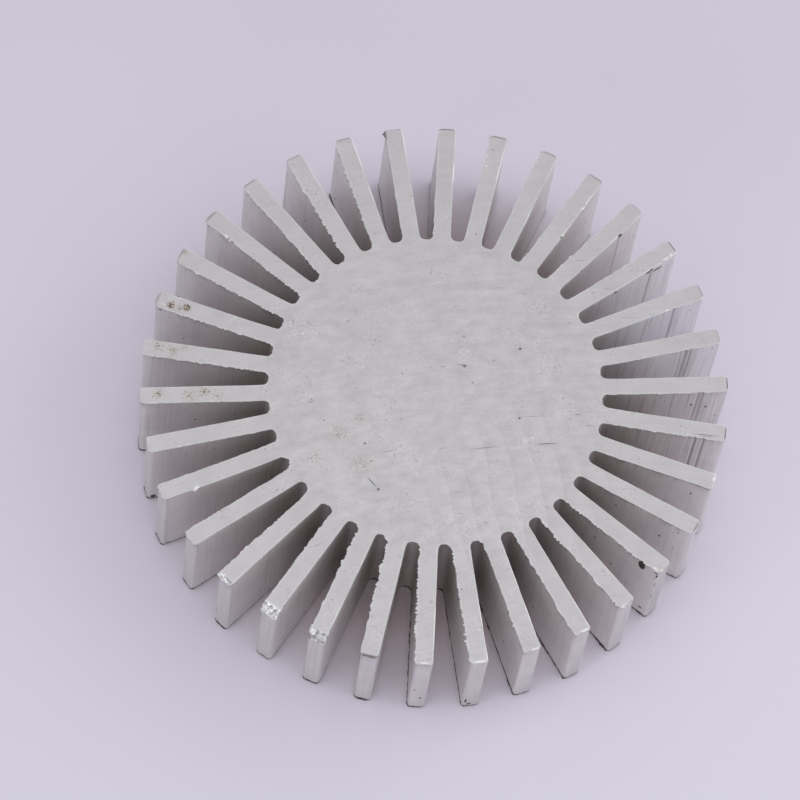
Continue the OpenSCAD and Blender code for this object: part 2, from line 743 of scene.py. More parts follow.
        # Stains, and painted shade under some burrs, broken by noise
        ragged = add_node(tree, "ShaderNodeMath", {0: mark_mask(tree, mm, self.stains_and_shade), 1: broken},
                          operation="MULTIPLY")
        spots = add_node(tree, "ShaderNodeMapRange", {0: ragged.outputs[0], 1: 0.12, 2: 0.35})

        # Painted highlight along the lips of torn and rounded edges, broken by noise
        lip = add_node(tree, "ShaderNodeAttribute", {}, attribute_name="lip")
        lip_highlight = add_node(tree, "ShaderNodeMath", {0: lip.outputs["Fac"], 1: broken}, operation="MULTIPLY")
        # Grime and painted shade under torn top edges, from the mesh
        grime_and_shade = add_node(tree, "ShaderNodeAttribute", {}, attribute_name="grime_and_shade")
        # The brighter walls at the right are painted light
        colour = overlay(tree, linear(self.dull), (
            (tone, self.bright), (mark_mask(tree, mm, self.lit_walls), self.lit_wall_colour),
            (die_lines.outputs[0], self.line_colour), (slot_shade_mask.outputs[0], self.slot_shade_colour),
            (end_shade.outputs[0], self.end_shade_colour), (mark_mask(tree, mm, self.end_shade_marks), self.end_shade_colour),
            (grooves.outputs[0], self.line_colour), (pits, self.pit_colour),
            (dirt_and_contact_shade.outputs[0], self.dirt_and_shade_colour), (lip_highlight.outputs[0], self.edge_highlight_colour),
            (grime_and_shade.outputs["Fac"], self.grime_and_shade_colour), (spots.outputs[0], self.stain_and_shade_colour)))
        gloss = add_node(tree, "ShaderNodeMapRange", {0: tone, 1: 0.0, 2: 1.0, 3: 0.52, 4: 0.38})
        height = add_node(tree, "ShaderNodeMath", {0: pits, 1: -1.5, 2: tone}, operation="MULTIPLY_ADD")
        bench.finish(colour, gloss.outputs[0], height.outputs[0], self.relief, self.metallic)
        return bench.material


@dataclass(frozen=True)
class CrushedAluminium:
    """Aluminium freshly bruised by a knock: bare, bright and folded, with no oxide on it yet.

    The eye sees white metal smeared one way, with thin curved dark folds. The white is fresh metal
    and partly painted highlight, laid on largely as diffuse colour; patches of facets are painted
    brighter as lit, and the folds are painted dark as shade in the creases.
    """

    name: str = "aluminium_crushed_bright"
    dull: str = "#b9b4b0"
    bright: str = "#ffffff"
    # Painted shade in the folds
    fold_shade_colour: str = "#5f5751"
    smear_size: Triple = (0.9, 0.34, 0.5)
    smear_turn: float = math.radians(-40)
    patch_size: float = 0.5
    fold_share: float = 0.05
    relief: float = 0.12
    metallic: float = 0.45

    def build(self) -> bpy.types.Material:
        """Builds the material; a fold lies where a smeared noise passes its middle value.

        Returns:
            A node material that reads Object coordinates.
        """
        bench = Bench.start(self.name)
        tree = bench.tree
        smeared = add_node(tree, "ShaderNodeMapping",
                           {"Vector": bench.mm, "Rotation": (0, 0, self.smear_turn),
                            "Scale": self.smear_size}, vector_type="TEXTURE")
        waves = add_node(tree, "ShaderNodeTexNoise",
                         {"Vector": smeared.outputs[0], "Scale": 1.0, "Detail": 1.0, "Distortion": 0.6})
        middle = add_node(tree, "ShaderNodeMath", {0: waves.outputs["Fac"], 1: 0.5}, operation="SUBTRACT")
        away = add_node(tree, "ShaderNodeMath", {0: middle.outputs[0]}, operation="ABSOLUTE")
        fold_shade = add_node(tree, "ShaderNodeMapRange",
                         {0: away.outputs[0], 1: 0.0, 2: self.fold_share, 3: 0.85, 4: 0.0})
        # Patches of facets are painted brighter as lit, and folds dark as shade
        lit_facets = add_node(tree, "ShaderNodeMapRange",
                          {0: bench.noise(self.patch_size, 1.0), 1: 0.35, 2: 0.55})
        colour = overlay(tree, linear(self.dull), (
            (lit_facets.outputs[0], self.bright), (fold_shade.outputs[0], self.fold_shade_colour)))
        gloss = add_node(tree, "ShaderNodeMapRange",
                         {0: waves.outputs["Fac"], 1: 0.3, 2: 0.7, 3: 0.2, 4: 0.36})
        bench.finish(colour, gloss.outputs[0], away.outputs[0], self.relief, self.metallic)
        return bench.material


@dataclass(frozen=True)
class Flake:
    """A torn flake on the top edge of a fin's side: it swells out to reach over half_length."""

    fin: int
    side: Side
    u: float
    half_length: float
    reach: float
    # A flake that is not bright gets painted shade on its rim
    bright: bool = True


@dataclass(frozen=True)
class Crush:
    """A knock on the top corner of a fin's tip: it takes length off the top and depth off the end."""

    fin: int
    length: float
    depth: float
    v: float = 0.0
    half_width: float = 3.0


@dataclass
class FinOutline:
    """One fin's share of the outline, anticlockwise, in its own plan: u along it, v across it."""

    u: np.ndarray
    v: np.ndarray
    out_u: np.ndarray
    out_v: np.ndarray
    cw_column: np.ndarray
    ccw_column: np.ndarray
    tip_row: np.ndarray
    hub_before: np.ndarray
    hub_after: np.ndarray


@dataclass
class SawnEdge:
    """One sawn edge along the whole outline, by fin and point.

    Burr is how far it is torn out, rounding how far it is worn in; grime is dirt and painted shade
    under the burr, and rim is painted shade on the edge itself, both from 0 to 1.
    """

    burr: np.ndarray
    rounding: np.ndarray
    grime_and_shade: np.ndarray
    rim: np.ndarray


@dataclass
class CrushedTip:
    """The knocked-over top corner of one fin's tip: a thin lumpy shell pressed onto the fin.

    Along the fin the shell follows the crushed corner that the slice has there: height less depth
    times a power of the share of the length, and then straight down the end. It stands off by
    noise lumps and slanting ridges, and its border and its inner side lie inside the metal.
    """

    plan: SlicePlan
    skin: Skin
    crush: Crush
    ridges: float
    seed: int
    overhang: float = 0.05
    lump: float = 0.055
    lump_cells: Triple = (0.5, 0.4, 0.16)
    sink: float = 0.05
    margin: tuple[float, float] = (0.12, 0.1)
    thickness: float = 0.2
    inner_share: float = 0.85
    end_share: float = 0.25
    end_slope: float = 3.0
    rows: int = 44
    columns: int = 46

    def shell(self) -> tuple[np.ndarray, np.ndarray]:
        """Draws the shell.

        Returns:
            Its points, and its faces by their numbers.
        """
        plan, crush = self.plan, self.crush
        end = 1 + self.end_share
        x, t = np.meshgrid(np.linspace(0, end, self.rows), np.linspace(-1, 1, self.columns), indexing="ij")
        on_top = np.clip(x, 0, 1)
        start = plan.outer_r - crush.length
        u = start + crush.length * on_top
        z = plan.height - crush.depth * on_top ** CORNER_POWER - crush.length * (x - on_top)
        fall = CORNER_POWER * crush.depth / crush.length * on_top ** (CORNER_POWER - 1)
        slope = np.where(x < 1, fall, self.end_slope)
        steep = np.hypot(1, slope)
        v = (plan.fin_t / 2 + self.overhang) * t

        along, across = crush.length * x, plan.fin_t * (t + 1) / 2
        wave, coarse, fine = (sheet_noise(along, across, cell, self.seed + k)
                              for k, cell in enumerate(self.lump_cells))
        ridges = np.sin(self.ridges * (across + 0.8 * along) + 1.5 * wave)
        lumps = 0.6 * ridges + 0.7 * coarse + 0.2 * fine
        inside = np.clip(np.minimum(x, end - x) / self.margin[0], 0, 1)
        inside = inside * np.clip((1 - np.abs(t)) / self.margin[1], 0, 1)
        stand_off = (self.lump * (0.7 + 0.6 * lumps) + self.sink) * inside - self.sink
        sheets = []
        for off, width in ((stand_off, 1.0), (0 * x - self.thickness, self.inner_share)):
            sheet_x, sheet_y = plan.place(crush.fin, u + off * slope / steep, v * width)
            sheets.append(np.stack([sheet_x, sheet_y, z + off / steep], -1).reshape(-1, 3))

        ids = np.arange(x.size).reshape(x.shape)
        sheet = np.stack([ids[:-1, :-1], ids[1:, :-1], ids[1:, 1:], ids[:-1, 1:]], -1).reshape(-1, 4)
        border = np.concatenate([ids[:-1, 0], ids[-1, :-1], ids[:0:-1, -1], ids[0, :0:-1]])
        after = np.roll(border, -1)
        seam = np.stack([after, border, border + x.size, after + x.size], -1)
        quads = np.concatenate([sheet, sheet[:, ::-1] + x.size, seam])
        return np.concatenate(sheets), quads


@dataclass
class SawnSlice:
    """The whole heat sink: one slice of extrusion, as one closed skin.

    Layers of the wall are given by their heights over the underside and their depths under the
    top; the tuples beside them say how much of the burr, the rounding, the grime with painted shade
    and the painted shade on the rim each one gets. By fin, leans are sideways bends at the tip,
    extras are lengths added there, grooves are their distances from the axis, the dark tips' amounts
    are painted shade on the tip's rim and tears are shares of the usual burr.
    """

    plan: SlicePlan
    sawn: bpy.types.Material
    mill: bpy.types.Material
    crushed: bpy.types.Material
    pressed: bpy.types.Material
    flakes: tuple[Flake, ...]
    crushes: tuple[Crush, ...]
    tips: tuple[CrushedTip, ...]
    leans: dict[int, float]
    extras: dict[int, float]
    grooves: dict[int, tuple[float, ...]]
    # Painted shade on the rims of some tips, by fin
    shaded_tip_rims: dict[int, float]
    tears: dict[int, float]
    floor_n: int = 2
    root_n: int = 6
    side_n: int = 120
    corner_n: int = 5
    across: tuple[float, ...] = (0.0, 0.09, 0.91, 1.0)
    rings: int = 14
    rim_inset: float = 0.08
    slot_bite: float = 0.04
    core_drift: float = 0.05
    saw_exit: float = math.radians(207)
    exit_wrap: float = 0.12
    exit_power: float = 0.7
    burr_reach: float = 0.22
    burr_pitch: float = 0.2
    tooth_pitch: float = 0.3
    drift_pitch: float = 0.8
    hook_pitch: float = 0.52
    hook_from: float = 0.45
    hook_gain: float = 1.2
    gap_pitch: float = 1.9
    low_share: float = 0.4
    worn_share: float = 0.08
    clean_burr: float = 0.03
    round_over: float = 0.085
    rim_width: float = 0.13
    groove_half: float = 0.11
    groove_depth: float = 0.05
    die_wave: float = 0.0025
    chance_bend: float = 0.03
    sharp_angle: float = math.radians(38)
    bare_length: float = 0.85
    bare_depth: float = 1.05
    bare_margin: float = 0.05
    flake_share: float = 1.2
    flake_inside: float = 0.1
    flake_outside: float = 0.4
    flake_depth: float = 0.12
    heights: tuple[float, ...] = (0.0, 0.15)
    depths: tuple[float, ...] = (1.4, 0.5, 0.16, 0.05, 0.0)
    low_flare: tuple[float, ...] = (1.0, 0.0)
    low_round: tuple[float, ...] = (1.0, 0.0)
    top_flare: tuple[float, ...] = (0.0, 0.0, 0.3, 0.9, 1.0)
    top_round: tuple[float, ...] = (0.0, 0.0, 0.0, 0.25, 1.0)
    # Grime and painted shade under the burr, and painted shade on the rim, by layer
    top_grime_and_shade: tuple[float, ...] = (0.0, 0.25, 1.0, 0.6, 0.0)
    top_rim: tuple[float, ...] = (0.0, 0.0, 0.7, 1.0, 1.0)
    seed: int = 340

    def outline(self) -> FinOutline:
        """Draws one fin's share of the outline: half a slot floor, fillet, side, tip corner, tip, and back.

        The floor lies on the core circle, the fillet touches it and the side, the side is straight,
        the corner is a quarter circle and the tip is flat. The second half mirrors the first.

        Returns:
            The outline's points, outward directions and the numbers of its named points.
        """
        plan = self.plan
        root_u, root_v = plan.root_centre
        meet = math.atan2(root_v, root_u)
        half_t = plan.fin_t / 2

        floor_a = -plan.half_pitch + (plan.half_pitch - meet) * np.arange(self.floor_n) / self.floor_n
        fillet_a = np.linspace(math.pi - meet, math.pi / 2, self.root_n)
        side_u = np.linspace(root_u, plan.outer_r - plan.tip_r, self.side_n + 2)[1:-1]
        corner_a = np.linspace(-math.pi / 2, 0.0, self.corner_n)
        flat = np.ones(self.side_n)

        u = np.concatenate([plan.core_r * np.cos(floor_a), root_u + plan.root_r * np.cos(fillet_a), side_u,
                            plan.outer_r - plan.tip_r + plan.tip_r * np.cos(corner_a)])
        v = np.concatenate([plan.core_r * np.sin(floor_a), -root_v + plan.root_r * np.sin(fillet_a),
                            -half_t * flat, -half_t + plan.tip_r + plan.tip_r * np.sin(corner_a)])
        out_u = np.concatenate([np.cos(floor_a), -np.cos(fillet_a), 0 * flat, np.cos(corner_a)])
        out_v = np.concatenate([np.sin(floor_a), -np.sin(fillet_a), -flat, np.sin(corner_a)])

        inner = np.array(self.across[1:-1])
        tip_v = (half_t - plan.tip_r) * (2 * inner - 1)
        ones = np.ones(len(inner))
        back = slice(None, 0, -1)
        columns = self.root_n + self.side_n + self.corner_n
        first = self.floor_n
        last = first + columns + len(inner)
        return FinOutline(
            u=np.concatenate([u, plan.outer_r * ones, u[back]]),
            v=np.concatenate([v, tip_v, -v[back]]),
            out_u=np.concatenate([out_u, ones, out_u[back]]),
            out_v=np.concatenate([out_v, 0 * ones, -out_v[back]]),
            cw_column=np.arange(first, first + columns),
            ccw_column=np.arange(last + columns - 1, last - 1, -1),
            tip_row=np.arange(first + columns - 1, last + 1),
            hub_before=np.arange(first),
            hub_after=np.arange(last + columns, last + columns + first - 1),
        )

    def drop(self, u: np.ndarray, v: np.ndarray) -> np.ndarray:
        """How far knocks push the top face down: depth times a rounded share of the crushed length.

        Args:
            u: distances from the axis; the first axis of the array is the fin.
            v: distances from the fins' middle lines.

        Returns:
            Depths, zero away from the crushed tips.
        """
        down = np.zeros(np.broadcast(u, v).shape)
        for crush in self.crushes:
            share = np.clip((u[crush.fin] - self.plan.outer_r + crush.length) / crush.length, 0, 1)
            sideways = swell(v[crush.fin], crush.v, crush.half_width)
            down[crush.fin] += crush.depth * share ** CORNER_POWER * sideways
        return down

    def edge(self, line: FinOutline, low: bool) -> SawnEdge:
        """Works out one sawn edge.

        Edges where the blade left the metal face saw_exit and are torn: teeth, hooks and gaps of
        noise, times a power of the cosine of the angle between the two. The other edges are
        rounded a little. Grime and painted shade lie where the edge is torn, and painted shade on the
        rims of the tips that are given dark rims and by the flakes that are not bright.

        Args:
            line: one fin's outline.
            low: the bottom edge, which is torn less.

        Returns:
            The edge.
        """
        plan = self.plan
        shape = (plan.fin_count, len(line.u))
        steps = np.hypot(np.diff(line.u, append=line.u[0]), np.diff(line.v, append=line.v[0]))
        steps[-1] = steps[-2]
        share = np.cumsum(np.tile(steps, plan.fin_count))
        length = share[-1]
        share = (share / length).reshape(shape)
        facing = np.arctan2(line.out_v, line.out_u)[None, :] + plan.angles[:, None]
        towards = (np.cos(facing - self.saw_exit) + self.exit_wrap) / (1 + self.exit_wrap)
        towards = np.clip(towards, 0, 1) ** self.exit_power
        seed = self.seed + (50 if low else 10)
        drift, bumps, hooks, gaps = (
            loop_noise(share, int(length / pitch), seed + k)
            for k, pitch in ((3, self.drift_pitch), (0, self.burr_pitch), (1, self.hook_pitch),
                             (2, self.gap_pitch)))
        ripple = np.sin(2 * math.pi * share * length / self.tooth_pitch + 2.5 * drift)
        teeth = np.clip(0.85 * bumps + 0.45 * ripple, -1, 1)
        torn = np.clip(0.7 + 0.5 * gaps, 0.3, 1.1) * (0.5 + 0.5 * teeth)
        torn = torn + self.hook_gain * np.clip(hooks - self.hook_from, 0, 1)
        tear = np.ones((plan.fin_count, 1))
        tear[list(self.tears), 0] = list(self.tears.values())
        reach = self.burr_reach * (self.low_share if low else 1.0)
        burr = reach * (towards * torn * tear + self.worn_share * np.clip(teeth, 0, 1))
        rounding = self.round_over * (1 - towards) * (0.75 + 0.35 * gaps)
        # Grime and painted shade under the torn edge
        grime_and_shade = towards * np.clip(0.5 + 0.5 * teeth + 0.4 * hooks + 0.35 * gaps, 0, 0.95)
        # Painted shade on the rims of some tips
        rim = np.zeros(shape)
        for fin, amount in self.shaded_tip_rims.items():
            at_tip = line.u > plan.outer_r - 0.9 * plan.tip_r
            rim[fin] = amount * at_tip * np.clip(0.55 + 1.1 * teeth[fin], 0, 1)
        if not low:
            for flake in self.flakes:
                near = swell(line.u, flake.u, flake.half_length) * (np.sign(line.v) == flake.side)
                burr[flake.fin] += flake.reach * near * (0.8 + 0.4 * teeth[flake.fin])
                # A flake that is not bright gets painted shade on its rim
                if not flake.bright:
                    rim[flake.fin] = np.maximum(rim[flake.fin], np.clip(1.5 * near, 0, 0.9))
        return SawnEdge(np.clip(burr, 0, None), rounding, grime_and_shade, rim)

    def die_marks(self, line: FinOutline) -> np.ndarray:
        """What the die left through the whole height: faint waves, and grooves near some tips.

        Args:
            line: one fin's outline.

        Returns:
            Offsets along the outward direction, by fin and point.
        """
        plan = self.plan
        waves = np.random.default_rng(self.seed + 3).normal(0, self.die_wave, (plan.fin_count, len(line.u)))
        for fin, places in self.grooves.items():
            waves[fin] *= 2
            for u in places:
                waves[fin] -= self.groove_depth * swell(line.u, u, self.groove_half) * (line.v < 0)
        return waves * (np.abs(line.v) > plan.fin_t / 2 - 0.001) * (line.u > plan.core_r + 1)

    def turn(self, u: np.ndarray, v: np.ndarray) -> tuple[np.ndarray, np.ndarray]:
        """Stretches, bends and turns each fin.

        A fin that is longer or shorter than the rest is stretched by its extra length times its
        share of the length. It is bent sideways by its lean, or by a small seeded one, times the
        square of that share, and turned to its direction. Near the core the slots are a little
        deeper than drawn, by slot_bite, and the core sits off the fins' middle by core_drift in y.

        Args:
            u: distances from the axis; the first axis of the array is the fin.
            v: distances from the fins' middle lines.

        Returns:
            x and y in the frame.
        """
        plan = self.plan
        column = (-1,) + (1,) * (u.ndim - 1)
        bend = np.random.default_rng(self.seed).uniform(-self.chance_bend, self.chance_bend, plan.fin_count)
        extra = np.zeros(plan.fin_count)
        for amounts, given in ((bend, self.leans), (extra, self.extras)):
            amounts[list(given)] = list(given.values())
        root = np.clip(1 - np.abs(u - plan.core_r) / 2, 0, 1)
        u = u - self.slot_bite * root
        share = np.clip((u - plan.core_r) / plan.fin_length, 0, None)
        v = v + bend.reshape(column) * share ** 2
        u = u + extra.reshape(column) * np.clip((u - plan.core_r - 1) / (plan.fin_length - 1), 0, None)
        a = plan.angles.reshape(column)
        x, y = u * np.cos(a) - v * np.sin(a), u * np.sin(a) + v * np.cos(a)
        return x, y + self.core_drift * root

    def build(self) -> bpy.types.Object:
        """Builds the skin and dresses it.

        The walls are the outline carried up through the layers, flared or rounded at the two sawn
        edges. A cap is a grid over each fin, straight across from side to side, and a polar grid
        over the core that shrinks the core's boundary evenly to one point in the middle. The
        shells of the crushed corners come last.

        Returns:
            The finished object, at the origin.
        """
        plan = self.plan
        line = self.outline()
        fins, points = plan.fin_count, len(line.u)
        lows = len(self.heights)
        layers = lows + len(self.depths)
        low_edge, top_edge = self.edge(line, low=True), self.edge(line, low=False)
        die = self.die_marks(line)

        u0 = np.broadcast_to(line.u, (fins, points))
        v0 = np.broadcast_to(line.v, (fins, points))
        squeeze = (self.depths[0] - self.drop(u0, v0)) / self.depths[0]
        wall = np.zeros((layers, fins, points, 3))
        local = np.zeros((layers, fins, points, 2))
        lip = np.zeros((layers, fins, points))
        grime_and_shade = np.zeros((layers, fins, points))
        for k in range(layers):
            low = k < lows
            at = k if low else k - lows
            edge = low_edge if low else top_edge
            flare = (self.low_flare if low else self.top_flare)[at]
            inset = (self.low_round if low else self.top_round)[at]
            offset = die + edge.burr * flare - edge.rounding * inset
            local[k, ..., 0] = u0 + line.out_u * offset
            local[k, ..., 1] = v0 + line.out_v * offset
            if low:
                wall[k, ..., 2] = self.heights[at]
            else:
                rise = (self.depths[0] - self.depths[at]) * squeeze
                wall[k, ..., 2] = plan.height - self.depths[0] + rise
                torn = np.clip(edge.burr / self.burr_reach, 0, 1)
                # Painted highlight on the lips of torn and rounded edges
                lip[k] = flare * torn + inset * (edge.burr < self.clean_burr)
                # Grime and painted shade under the burr, and painted shade on the rim
                grime_and_shade[k] = np.maximum(edge.grime_and_shade * self.top_grime_and_shade[at], edge.rim * self.top_rim[at])
            wall[k, ..., 0], wall[k, ..., 1] = self.turn(local[k, ..., 0], local[k, ..., 1])

        vertices = [wall.reshape(-1, 3)]
        count = layers * fins * points
        grid = np.arange(count).reshape(layers, fins * points)
        nxt = np.roll(grid, -1, axis=1)
        faces = [np.stack([grid[:-1], nxt[:-1], nxt[1:], grid[1:]], -1).reshape(-1, 4)]
        poles = []
        for cap in Cap:
            layer = layers - 1 if cap is Cap.TOP else 0
            made = self.cap(line, cap, local[layer], grid[layer].reshape(fins, points), count)
            vertices.append(made[0])
            count += len(made[0])
            faces.append(made[1])
            poles.append(made[2])

        body = sum(len(part) for part in faces)
        shell_sizes = []
        for tip in self.tips:
            shell, sheet = tip.shell()
            vertices.append(shell)
            faces.append(sheet + count)
            shell_sizes.append(len(sheet))
            count += len(shell)

        xyz = np.concatenate(vertices)
        quads = np.concatenate(faces)
        triangles = np.concatenate(poles)
        mesh = bpy.data.meshes.new("sawn_heat_sink")
        mesh.from_pydata((xyz * MM).tolist(), [], quads.tolist() + triangles.tolist())
        skin = np.full(len(quads) + len(triangles), int(Skin.SAWN))
        skin[:len(faces[0])] = int(Skin.MILL)
        skin[:body][self.is_crushed(xyz[quads[:body]].mean(axis=1))] = int(Skin.CRUSHED)
        skin[body:len(quads)] = np.repeat([int(tip.skin) for tip in self.tips], shell_sizes)
        mesh.polygons.foreach_set("material_index", skin.astype(np.int32))
        # Point attributes: painted highlight on the lips, and grime with painted shade
        for name, values in (("lip", lip), ("grime_and_shade", grime_and_shade)):
            at_points = np.zeros(len(xyz), dtype=np.float32)
            at_points[:values.size] = values.ravel()
            if name == "grime_and_shade":
                at_points[values.size:] = self.cap_rim_shade(xyz[values.size:])
            mesh.attributes.new(name, "FLOAT", "POINT").data.foreach_set("value", at_points)
        for material in (self.sawn, self.mill, self.crushed, self.pressed):
            mesh.materials.append(material)
        mesh.polygons.foreach_set("use_smooth", np.ones(len(mesh.polygons), dtype=bool))
        mesh.set_sharp_from_angle(angle=self.sharp_angle)
        mesh.validate()
        piece = bpy.data.objects.new("sawn_heat_sink", mesh)
        bpy.context.scene.collection.objects.link(piece)
        return piece

    def cap(self, line: FinOutline, cap: Cap, rim: np.ndarray, rim_ids: np.ndarray,
            start: int) -> tuple[np.ndarray, np.ndarray, np.ndarray]:
        """Builds one sawn face inside its rim of wall points.

        Args:
            line: one fin's outline.
            cap: which face.
            rim: the rim's points in the fins' own plans, by fin and point.
            rim_ids: the rim's vertex numbers, by fin and point.
            start: number of the first new vertex.

        Returns:
            New vertices, quads, and the triangles round the middle.
        """
        plan = self.plan
        fins = plan.fin_count
        inner = np.array(self.across[1:-1])
        columns = len(line.cw_column)
        cw, ccw = rim[:, line.cw_column], rim[:, line.ccw_column]
        drawn = np.broadcast_to(np.stack([line.u, line.v], -1), rim.shape)
        start_edge, end_edge = drawn[:, line.cw_column[:-1], None], drawn[:, line.ccw_column[:-1], None]
        strip = start_edge + (end_edge - start_edge) * inner[None, None, :, None]
        u, v = strip[..., 0], strip[..., 1]
        x, y = self.turn(u, v)
        z = plan.height - self.drop(u, v) if cap is Cap.TOP else np.zeros(u.shape)
        strips = np.stack([x, y, z], -1)

        ids = np.zeros((fins, columns, len(self.across)), dtype=int)
        ids[:, :, 0] = rim_ids[:, line.cw_column]
        ids[:, :, -1] = rim_ids[:, line.ccw_column]
        ids[:, -1, :] = rim_ids[:, line.tip_row]
        ids[:, :-1, 1:-1] = start + np.arange(u.size).reshape(u.shape)
        fin_faces = np.stack([ids[:, :-1, :-1], ids[:, 1:, :-1], ids[:, 1:, 1:], ids[:, :-1, 1:]], -1)
        fin_faces = fin_faces.reshape(-1, 4)

        bound_ids = np.concatenate([rim_ids[:, line.hub_before], ids[:, 0, :], rim_ids[:, line.hub_after]], 1)
        bound_ids = bound_ids.ravel()
        before_x, before_y = self.turn(*np.moveaxis(rim[:, line.hub_before], -1, 0))
        ends_x, ends_y = self.turn(*np.moveaxis(np.stack([cw[:, 0], ccw[:, 0]], 1), -1, 0))
        after_x, after_y = self.turn(*np.moveaxis(rim[:, line.hub_after], -1, 0))
        bound = np.stack([
            np.concatenate([before_x, ends_x[:, :1], x[:, 0], ends_x[:, 1:], after_x], 1).ravel(),
            np.concatenate([before_y, ends_y[:, :1], y[:, 0], ends_y[:, 1:], after_y], 1).ravel(),
        ], -1)
        shrink = (1 - self.rim_inset / plan.core_r) * (1 - np.arange(self.rings) / self.rings)
        rings = np.zeros((self.rings, len(bound), 3))
        rings[..., :2] = bound[None] * shrink[:, None, None]
        rings[..., 2] = plan.height if cap is Cap.TOP else 0.0
        pole = np.array([[0.0, 0.0, plan.height if cap is Cap.TOP else 0.0]])

        ring_start = start + u.size
        new_ids = ring_start + np.arange(rings[..., 0].size).reshape(rings.shape[:2])
        ring_ids = np.concatenate([bound_ids[None], new_ids])
        nxt = np.roll(ring_ids, -1, axis=1)
        hub_faces = np.stack([ring_ids[:-1], nxt[:-1], nxt[1:], ring_ids[1:]], -1).reshape(-1, 4)
        middle = np.full(len(bound), ring_start + rings[..., 0].size)
        fan = np.stack([ring_ids[-1], nxt[-1], middle], -1)
        quads = np.concatenate([fin_faces, hub_faces])
        if cap is Cap.UNDERSIDE:
            quads, fan = quads[:, ::-1], fan[:, ::-1]
        return np.concatenate([strips.reshape(-1, 3), rings.reshape(-1, 3), pole]), quads, fan

    def cap_rim_shade(self, xyz: np.ndarray) -> np.ndarray:
        """Painted shade on the top face: a dark rim round each tip that is given one.

        Args:
            xyz: points of the two sawn faces.

        Returns:
            Painted shade from 0 to 1 for each point.
        """
        plan = self.plan
        x, y, z = xyz.T
        grime_and_shade = np.zeros(len(xyz))
        for fin, amount in self.shaded_tip_rims.items():
            u, v = plan.place(-fin, x, y)
            inwards = (plan.outer_r + self.extras.get(fin, 0.0) - u) / self.rim_width
            on_tip = (np.abs(v) < plan.fin_t) & (u > 0) & (z > plan.height / 2)
            grime_and_shade = np.maximum(grime_and_shade, amount * on_tip * np.clip(1.3 - inwards, 0, 1))
        return grime_and_shade

    def is_crushed(self, middle: np.ndarray) -> np.ndarray:
        """Finds the faces that a knock or a tear laid bare.

        A knock bares most of its length and a little more than its depth. A flake bares its own
        stretch of the edge, from a little inside the fin's side to its outer end.

        Args:
            middle: the faces' middles.

        Returns:
            True for each crushed face.
        """
        plan = self.plan
        x, y, z = middle.T
        found = np.zeros(len(middle), dtype=bool)
        for crush in self.crushes:
            u, v = plan.place(-crush.fin, x, y)
            near = np.abs(v - crush.v) < min(crush.half_width, plan.fin_t)
            near &= u > plan.outer_r - self.bare_length * crush.length
            found |= near & (z > plan.height - self.bare_depth * crush.depth - self.bare_margin)
        for flake in (f for f in self.flakes if f.bright):
            u, v = plan.place(-flake.fin, x, y)
            beyond = v * flake.side - plan.fin_t / 2
            near = np.abs(u - flake.u) < self.flake_share * flake.half_length
            near &= (beyond > -self.flake_inside) & (beyond < self.flake_outside)
            found |= near & (z > plan.height - self.flake_depth)
        return found


@dataclass(frozen=True)
class MattCard:
    """Pale lavender card under a product: matt, with hardly any grain.

    It is painted a little brighter near the camera than far from it, as light. Between the fins it
    looks warmer, by light that the metal's film has tinted; its own colour goes that way, as painted
    light, from warm_from inwards to warm_to.
    """

    far: str = "#e8e3f1"
    near: str = "#f6f1ff"
    warmed: str = "#f6e8ec"
    reach: float = 40.0
    patch_size: float = 30.0
    patch_share: float = 0.1
    warm_from: float = 25.0
    warm_to: float = 17.0
    roughness: float = 0.7
    gloss: float = 0.2

    def build(self) -> bpy.types.Material:
        """Builds the material.

        Returns:
            A node material that reads Object coordinates.
        """
        bench = Bench.start("card_matt_lavender")
        tree, mm = bench.tree, bench.mm
        parts = add_node(tree, "ShaderNodeSeparateXYZ", {0: mm})
        # Painted light: brighter towards the camera
        fall = add_node(tree, "ShaderNodeMapRange", {0: parts.outputs["Y"], 1: self.reach, 2: -self.reach})
        nearness = weighed(tree, -self.patch_share / 2, (
            (fall.outputs[0], 1.0), (bench.noise(self.patch_size, 2.0), self.patch_share)))
        radius = add_node(tree, "ShaderNodeVectorMath", {0: mm}, operation="LENGTH")
        warmth = add_node(tree, "ShaderNodeMapRange",
                          {0: radius.outputs["Value"], 1: self.warm_from, 2: self.warm_to})
        colour = overlay(tree, linear(self.far), ((nearness, self.near), (warmth.outputs[0], self.warmed)))
        tree.links.new(colour, bench.shader.inputs["Base Color"])
        bench.shader.inputs["Roughness"].default_value = self.roughness
        bench.shader.inputs["Specular IOR Level"].default_value = self.gloss
        return bench.material


@dataclass(frozen=True)
class SoftBox:
    """A soft lamp: a square sheet of light aimed at the slice, in millimetres and watts."""

    name: str
    at: Triple
    size: float
    watts: float
    colour: str

    def build(self, aim: Triple) -> bpy.types.Object:
        """Puts the lamp into the scene.

        Args:
            aim: the point that it faces.

        Returns:
            The lamp.
        """
        lamp = bpy.data.lights.new(self.name, "AREA")
        lamp.shape = "SQUARE"
        lamp.size = self.size * MM
        lamp.energy = self.watts
        lamp.color = linear(self.colour)[:3]
        made = bpy.data.objects.new(self.name, lamp)
        made.location = Vector(self.at) * MM
        made.rotation_euler = (Vector(aim) - Vector(self.at)).to_track_quat("-Z", "Y").to_euler()
        bpy.context.scene.collection.objects.link(made)
        return made


